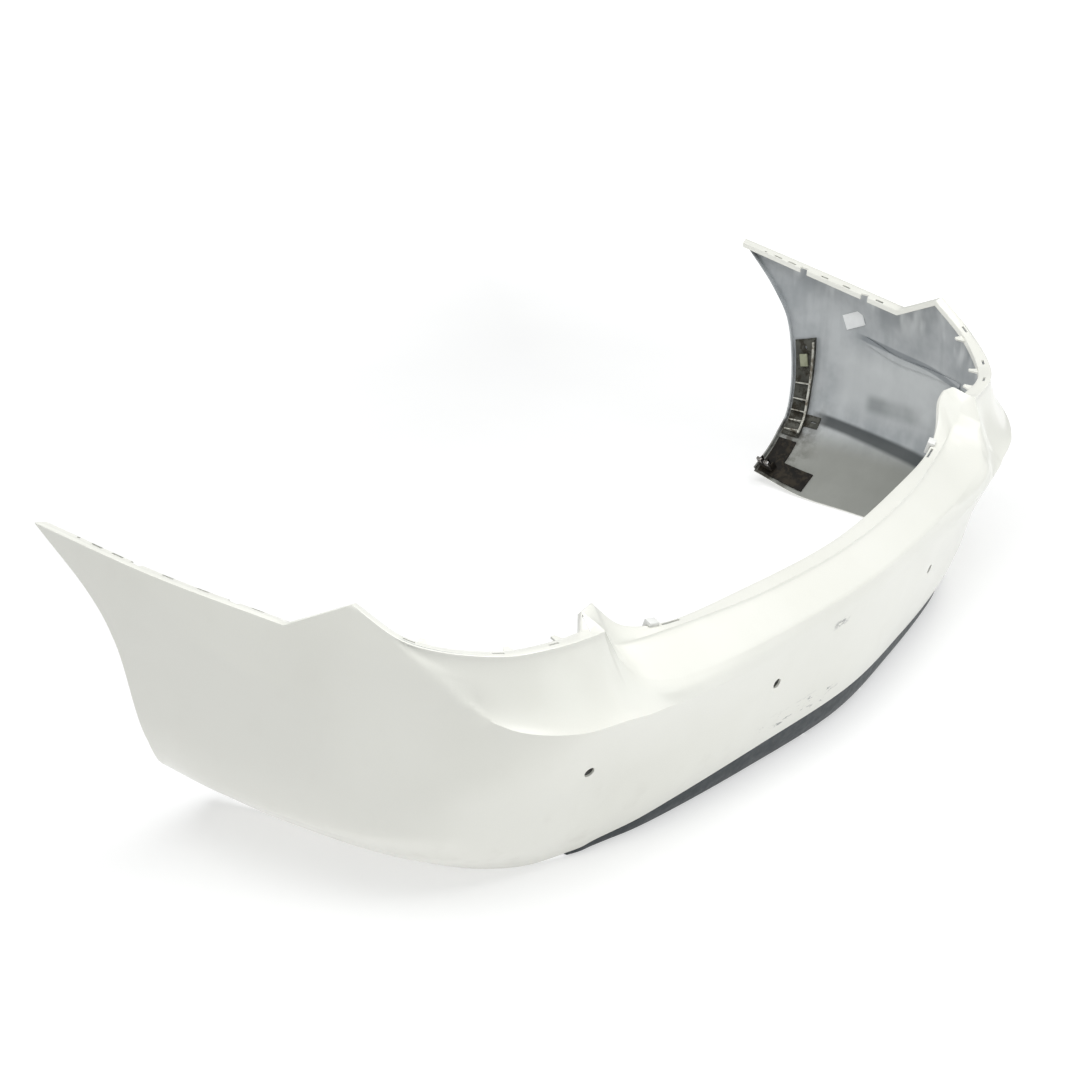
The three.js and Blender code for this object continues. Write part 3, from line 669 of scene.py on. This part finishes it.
WING_SLOTS = [0.12, 0.33, 0.47, 0.68, 0.77]  # shares of the way from station 12 to the wheel arch
WING_NOTCHES = [0.21, 0.6]
WING_SLOT, LAMP_SLOT, LEDGE_SLOT = [(length * MM, 4 * MM, 10 * MM) for length in (18, 16, 34)]
LEDGE_SLOT_X = 0.391
NOTCH = (12 * MM, 16 * MM, 40 * MM)
TIP_HOLE = 2.5 * MM  # radius of the hole near the wing's tip
SLIT_WIDTH, SLIT_DEPTH = 1.8 * MM, 24 * MM
LAMP_SLOT_STATIONS = [8, 9, 10]
LAMP_TAB_STATIONS = [7.6, 8.75, 9.85]


def slit(side):
    """The cut between the horn and the lamp flange."""
    start, end = place(side * 6.15, EDGE - 0.1), place(side * 6.8, GROOVE + 0.3)
    length = (end.translation - start.translation).length
    along = (end.translation - start.translation) / length
    across = Vector(start.col[2][:3]).cross(along).normalized()
    middle = (start.translation + end.translation) / 2
    return block("slit", matrix_of(along, across, along.cross(across), middle),
                 (length, SLIT_WIDTH, SLIT_DEPTH), PAINT)


def skin_cutters():
    tools = [turned("bore", p, disc_profile(SENSOR_BORE, -SENSOR_REACH, SENSOR_REACH), PAINT, 32)
             for p in sensor_places()]
    for side in (-1, 1):
        for share in WING_SLOTS:
            tools.append(block("slot", place(side * (12 + 2 * share), STEP + 0.4), WING_SLOT, PAINT))
        for share in WING_NOTCHES:
            edge = place(side * (12 + 2 * share), EDGE).translation
            tools.append(block("notch", upright(*edge), NOTCH, PAINT))
        tools.append(turned("hole", place(side * 13.7, STEP + 0.4),
                            disc_profile(TIP_HOLE, -5 * MM, 5 * MM), PAINT, 20))
        for station in LAMP_SLOT_STATIONS:
            tools.append(block("slot", place(side * station, GROOVE + 0.5), LAMP_SLOT, PAINT))
        ledge = place_on_skin(column_at_x(ROW_OF[EDGE], side * LEDGE_SLOT_X), row_at(EDGE - 0.3))
        tools.append(block("slot", ledge, LEDGE_SLOT, PAINT))
        tools.append(slit(side))
    for x in EAR_PLACES:
        tools.append(turned("hole", upright(x, ear_place(x)[2], 0), disc_profile(EAR_HOLE, 0, EAR_DRILL),
                            PAINT, 24))
    return tools


def lamp_tab(side, station):
    """A tapered tongue on the inner edge of the lamp flange."""
    matrix = place(side * station, EDGE + 0.6)
    turned_up = matrix @ Matrix.Rotation(math.pi / 2, 4, "X")
    outline = [(-9 * MM, -2 * MM), (9 * MM, -2 * MM), (3.5 * MM, 15 * MM), (-3.5 * MM, 15 * MM)]
    return prism("tab", turned_up, outline, -WALL / 2, WALL / 2, PAINT)


def standing_wall(name, station, lines, near, far, thickness, lean, material):
    """A wall that stands inwards from the skin along a station, between two depths."""
    rows = np.linspace(row_at(lines[0]), row_at(lines[1]), 40)
    places = [place_on_skin(column_at(station), row) for row in rows]
    base = np.array([p.translation for p in places])
    outward = np.array([p.col[2][:3] for p in places])
    side = np.array([p.col[0][:3] for p in places])
    low, high = (0, thickness) if lean > 0 else (-thickness, 0)
    grid = np.array([base - outward * depth for depth in (near, far)])
    return sheet(name, grid + side * high, grid + side * low, [material])


def inner_ridge(side):
    """The narrow ridge along the inside of the wing."""
    height = 2.4 * MM
    return patch("ridge", (side * 10.35, side * 12.7), (2.715, 2.795), WALL / 2, WALL + height, INNER,
                 (60, 4))


def painted_skin():
    skin = sheet("painted_skin", GRID, GRID - NORMALS * WALL, [PAINT, INNER])
    inner, tabs = [], []
    for x in EAR_PLACES:
        _, underside, _ = ear_place(x)
        inner.append(prism("ear", upright(0, 0, 0), ear_outline(x, MM), underside, underside + WALL, INNER))
    for side in (-1, 1):
        tabs += [lamp_tab(side, station) for station in LAMP_TAB_STATIONS]
        inner.append(standing_wall("arch_flange", side * (LAST_STATION - 0.001), (0.05, 4.95),
                                   WALL / 2, 12 * MM, WALL, -side, INNER))
        inner.append(inner_ridge(side))
    combined(skin, [joined(inner)], "UNION")
    combined(skin, [joined(tabs)], "UNION")
    combined(skin, [joined(skin_cutters())], "DIFFERENCE")
    finished(skin, "cover", "pearl_paint", "cover_skin", angle=35)


# ---------- lower valance ----------
def valance():
    reach = VALANCE_STATION * STATION_STEPS
    middle = LAST_STATION * STATION_STEPS
    columns = []
    for c in range(middle - reach, middle + reach + 1):
        x, y, z = GRID[c, 0]
        top = z - 0.6 * MM
        foot = y + 0.4 * z
        corners = [(x, foot + 30 * MM, 0.9 * MM), (x, foot, 0.4 * MM),
                   (x, (y + foot) / 2 - 0.06 * z, top / 2), (x, y, top), (x, y + 9 * MM, top)]
        columns.append(spline(corners, 8, (1, 3)))
    grid = np.array(columns)
    amount = 0.5 + 0 * grid[:, 0, 0]
    relax(grid, 8, 2, amount)
    relax(grid, 24, 1, amount)
    strip = sheet("lower_strip", grid, grid - grid_normals(grid) * THIN, [SLATE])
    parts, tools = [], []
    for x in EAR_PLACES:
        _, underside, hole_y = ear_place(x)
        base = underside - GAP - THIN
        parts.append(prism("ear", upright(0, 0, 0), ear_outline(x, WALL + GAP), base, base + THIN, SLATE))
        tools.append(turned("hole", upright(x, hole_y, 0), disc_profile(EAR_HOLE, 0, EAR_DRILL), SLATE, 24))
    combined(strip, [joined(parts)], "UNION")
    combined(strip, [joined(tools)], "DIFFERENCE")
    finished(strip, "cover", "slate_plastic", "lower_valance", angle=40)


# ---------- push rivets ----------
def rivets():
    for i, x in enumerate(EAR_PLACES, 1):
        _, underside, hole_y = ear_place(x)
        seat = underside - THIN - 2 * GAP
        grip = THIN + WALL + 3 * GAP
        bore = 2.2 * MM
        body = turned(f"push_rivet_{i}", upright(x, hole_y, seat), [
            (bore, -2.5 * MM), (7.6 * MM, -2.5 * MM), (8.7 * MM, -1.9 * MM), (9 * MM, -1 * MM),
            (9 * MM, 0), (4 * MM, 0), (4 * MM, grip + 1 * MM), (4.9 * MM, grip + 3 * MM),
            (4.4 * MM, grip + 4 * MM), (3.2 * MM, 13 * MM), (bore, 13 * MM)], BLACK, 48)
        slots = [block("slit", upright(x, hole_y, seat + 9.5 * MM) @ Matrix.Rotation(turn, 4, "Z"),
                       (14 * MM, 1.2 * MM, 12 * MM), BLACK) for turn in (0, math.pi / 2)]
        combined(body, slots, "DIFFERENCE")
        finished(body, "cover", "black_plastic", f"rivet_body_{i}")
        low = seat - GAP - 2.5 * MM
        pin = turned(f"rivet_centre_pin_{i}", upright(x, hole_y, low), [
            (0, -1.6 * MM), (4.4 * MM, -1.6 * MM), (5.3 * MM, -1.1 * MM), (5.5 * MM, -0.4 * MM),
            (5.5 * MM, 0), (1.9 * MM, 0), (1.9 * MM, 12.4 * MM), (1.2 * MM, 15 * MM), (0, 15 * MM)],
            BLACK, 40)
        notch = block("notch", upright(x, hole_y, low - 1.5 * MM), (6 * MM, 1.1 * MM, 1 * MM), BLACK)
        combined(pin, [notch], "DIFFERENCE")
        finished(pin, f"pin_{i}", "black_plastic", f"rivet_pin_{i}")


# ---------- sensor holders ----------
def sensor_holders():
    for i, matrix in enumerate(sensor_places(), 1):
        back = -WALL - 0.8 * MM
        holder = turned(f"sensor_holder_{i}_body", matrix, [
            (9 * MM, back), (22.4 * MM, back), (23 * MM, back - 0.8 * MM), (23 * MM, back - 2 * MM),
            (17 * MM, back - 2.5 * MM), (17 * MM, -17 * MM), (16.4 * MM, -17.4 * MM),
            (9.6 * MM, -17.4 * MM), (9 * MM, -16.8 * MM)], HOLDER, 56)
        slots = [block("window", matrix @ Matrix.Rotation(turn, 4, "Z"), (9 * MM, 40 * MM, 6 * MM),
                       HOLDER, (0, 0, -11.5 * MM)) for turn in (0.5, 0.5 + math.pi / 2)]
        combined(holder, slots, "DIFFERENCE")
        finished(holder, "cover", "black_plastic", f"sensor_holder_{i}")


# ---------- wheel arch mouldings ----------
ARCH_START, ARCH_WIDTH = 0.06, 0.40  # stations from the arch edge
BASE = WALL + 2 * GAP


def patch(name, stations, lines, near, far, material, count=(8, 50)):
    """A sheet behind the skin, between two depths."""
    columns = np.linspace(column_at(min(stations)), column_at(max(stations)), count[0])
    rows = np.linspace(row_at(lines[0]), row_at(lines[1]), count[1])
    point = np.array([[blend_at(GRID, c, r) for r in rows] for c in columns])
    normal = np.array([[blend_at(NORMALS, c, r) for r in rows] for c in columns])
    return sheet(name, point - normal * near, point - normal * far, [material])


def arch_bracket(side, name):
    inner = side * (LAST_STATION - ARCH_WIDTH)
    outer = side * (LAST_STATION - ARCH_START)
    # The channel, wall and tab take the dark grey, which is painted shade with some dirt; the bead and ribs
    # take the pale grey, the bracket's own colour.
    bracket = patch("arch_channel_" + name, (inner, outer), (1.2, 2.72), BASE, BASE + THIN, SHADED_GREY)
    bracket.data.materials.append(PALE)
    wall = standing_wall("wall", inner, (1.22, 2.70), BASE + THIN / 2, BASE + 12 * MM, THIN, side, SHADED_GREY)
    trim = [standing_wall("bead", inner - side * 0.012, (1.25, 2.68), BASE + 10.6 * MM, BASE + 13.4 * MM,
                          THIN * 1.6, side, PALE)]
    middle = (inner + outer) / 2
    reach = 17 * MM
    for line in np.linspace(1.3, 2.2, 5):
        matrix = place(middle, line, BASE) @ Matrix.Rotation(math.pi / 2, 4, "X")
        outline = [(-side * reach, -13 * MM), (side * reach, -5 * MM), (side * reach, -1.5 * MM),
                   (-side * reach, -1.5 * MM)]
        trim.append(prism("rib", matrix, outline, -1.1 * MM, 1.1 * MM, PALE))
    tab = place(side * (LAST_STATION - ARCH_WIDTH - 0.12), 1.6, BASE + THIN / 2)
    base = [wall, block("tab", tab, (34 * MM, 25 * MM, THIN), SHADED_GREY)]
    combined(bracket, [joined(base)], "UNION")
    for piece in trim:
        combined(bracket, [piece], "UNION")
    tools = [block("slot", tab, (11 * MM, 3.6 * MM, 20 * MM), SHADED_GREY, (-5 * MM * side, 0, 0))]
    for line in (1.95, 2.62):
        drill = disc_profile(3 * MM, -6 * MM, 6 * MM)
        tools.append(turned("hole", place(middle, line, BASE), drill, SHADED_GREY, 20))
    combined(bracket, [joined(tools)], "DIFFERENCE")
    finished(bracket, "cover", "grey_plastic", f"arch_bracket_{name}")


def arch_foot(side, name):
    inner = side * (LAST_STATION - ARCH_WIDTH)
    outer = side * (LAST_STATION - ARCH_START)
    foot = patch("arch_foot_shoe_" + name, (inner, outer), (0.08, 1.1), BASE, BASE + THIN, DIRTY)
    sole = patch("sole", (side * (LAST_STATION - 1.0), side * (LAST_STATION - ARCH_WIDTH + 0.05)),
                 (0.09, 0.53), BASE, BASE + THIN, DIRTY, (10, 12))
    matrix = place(side * (LAST_STATION - ARCH_WIDTH / 2), 0.2, BASE + 14 * MM)
    parts = [sole, block("plate", matrix, (34 * MM, THIN, 28 * MM), DIRTY)]
    for offset in (-15, 0, 15):
        parts.append(block("web", matrix, (2 * MM, 14 * MM, 22 * MM), DIRTY, (offset * MM, 6 * MM, 3 * MM)))
    for part in parts:
        combined(foot, [part], "UNION")
    finished(foot, "cover", "dirty_plastic", f"arch_foot_{name}")
    tip = place(side * (LAST_STATION - ARCH_WIDTH / 2), 0.2, WALL + 28 * MM)
    for number, offset in ((1, -9 * MM), (2, 9 * MM)):
        clip = block(f"spring_clip_{name}_{number}", tip, (11.5 * MM, 5.6 * MM, 11.5 * MM), STEEL,
                     (offset, 0, 0))
        tool = block("jaw", tip, (16 * MM, THIN + 2 * GAP, 12 * MM), STEEL, (offset, 0, 1.2 * MM))
        across = tip @ Matrix.Translation((offset, 0, 0)) @ Matrix.Rotation(math.pi / 2, 4, "X")
        hole = turned("hole", across, disc_profile(2.4 * MM, -10 * MM, 10 * MM), STEEL, 20)
        combined(clip, [tool, hole], "DIFFERENCE")
        bevelled(clip, 0.4 * MM)
        finished(clip, "cover", "spring_steel", f"arch_clip_{name}_{number}")


def arch_pad(side, name):
    base = WALL + THIN + 4 * GAP
    matrix = place(side * (LAST_STATION - ARCH_WIDTH * 0.55), 2.475, base + 3 * MM)
    pad = bevelled(block(f"foam_pad_{name}", matrix, (17 * MM, 25 * MM, 4.4 * MM), FOAM), 1.2 * MM, 3)
    finished(pad, "cover", "foam", f"arch_pad_{name}")


GRIP, GRIP_X = (17.6 * MM, 21.6 * MM, 12.6 * MM), 0.421
LABEL, LABEL_TILT = (46 * MM, 30 * MM, 0.5 * MM), math.radians(-26)


def ledge_clip(side, name):
    """The white clip that hooks over the edge of the ledge beside the horn."""
    matrix = place_on_skin(column_at_x(ROW_OF[HEM], side * GRIP_X), row_at(EDGE + 0.5))
    room = WALL + 1.2 * MM
    clip = block(f"ledge_grip_{name}", matrix, GRIP, WHITE, (0, 0, 0.5 * MM))
    tools = [block("jaw", matrix, (30 * MM, 13.8 * MM, room), WHITE, (0, 1.8 * MM, -WALL / 2)),
             block("shelf", matrix, (30 * MM, room, 12 * MM), WHITE, (0, -3 * MM, -6 * MM))]
    for tool in tools:
        combined(clip, [tool], "DIFFERENCE")
    bevelled(clip, 0.6 * MM)
    finished(clip, "cover", "white_plastic", f"ledge_clip_{name}")


def inside_label():
    matrix = place(12.95, 2.95, WALL + 1.5 * MM) @ Matrix.Rotation(LABEL_TILT, 4, "Z")
    label = block("blank_label", matrix, LABEL, PAPER)
    finished(bevelled(label, 0.1 * MM), "cover", "paper", "inside_label")


painted_skin()
valance()
rivets()
sensor_holders()
for hand, side_name in ((-1, "left"), (1, "right")):
    arch_bracket(hand, side_name)
    arch_foot(hand, side_name)
    arch_pad(hand, side_name)
    ledge_clip(hand, side_name)
inside_label()


# ---------- floor, light and camera ----------
def studio():
    reach = 9
    corners = [(-reach, -reach, 0), (reach, -reach, 0), (reach, reach, 0), (-reach, reach, 0)]
    floor = new_object("floor", corners, [(0, 1, 2, 3)], [])
    m = Nodes("pale_floor", 0.9)
    m.colour(m.mix(m.ramp(m.noise(2.0), 0.3, 0.7), (0.52, 0.52, 0.52), (0.54, 0.54, 0.54)))
    m.shader.inputs["Emission Color"].default_value = (1, 1, 1, 1)
    away = m.maths("MAXIMUM", m.axis("X"), m.axis("Y"))
    m.link(m.ramp(away, 0.9, 3.5, 0.50, 1.2), m.shader.inputs["Emission Strength"])
    floor.data.materials.append(m.material)
    world = bpy.data.worlds.new("studio")
    bpy.context.scene.world = world
    world.use_nodes = True
    world.node_tree.nodes["Background"].inputs["Color"].default_value = (0.96, 1, 0.99, 1)
    world.node_tree.nodes["Background"].inputs["Strength"].default_value = 0.30

    def softbox(name, location, target, size, power, colour=(1, 1, 1)):
        light = bpy.data.lights.new(name, "AREA")
        light.shape = "RECTANGLE"
        light.size, light.size_y = size
        light.energy = power
        light.color = colour
        obj = bpy.data.objects.new(name, light)
        obj.location = location
        aim = Vector(target) - Vector(location)
        obj.rotation_euler = aim.to_track_quat("-Z", "Y").to_euler()
        bpy.context.scene.collection.objects.link(obj)

    softbox("overhead", (-0.4, -0.45, 3.2), (0, 0, 0.2), (4.0, 3.0), 120)
    softbox("rear_fill", (0.4, -3.4, 1.3), (0, 0, 0.2), (2.4, 1.8), 15, (0.95, 1, 1))
    bpy.context.scene.view_settings.view_transform = "Standard"


def camera():
    heading, elevation = math.radians(53.384), math.radians(23.861)
    forward = Vector((math.cos(elevation) * math.sin(heading),
                      math.cos(elevation) * math.cos(heading), -math.sin(elevation)))
    data = bpy.data.cameras.new("camera")
    data.sensor_width = 36
    data.lens = 62.82
    data.shift_x, data.shift_y = -0.0032, 0.0010
    obj = bpy.data.objects.new("camera", data)
    obj.location = (-2.3155, -1.4967, 1.4178)
    obj.rotation_euler = forward.to_track_quat("-Z", "Y").to_euler()
    bpy.context.scene.collection.objects.link(obj)
    bpy.context.scene.camera = obj


studio()
camera()
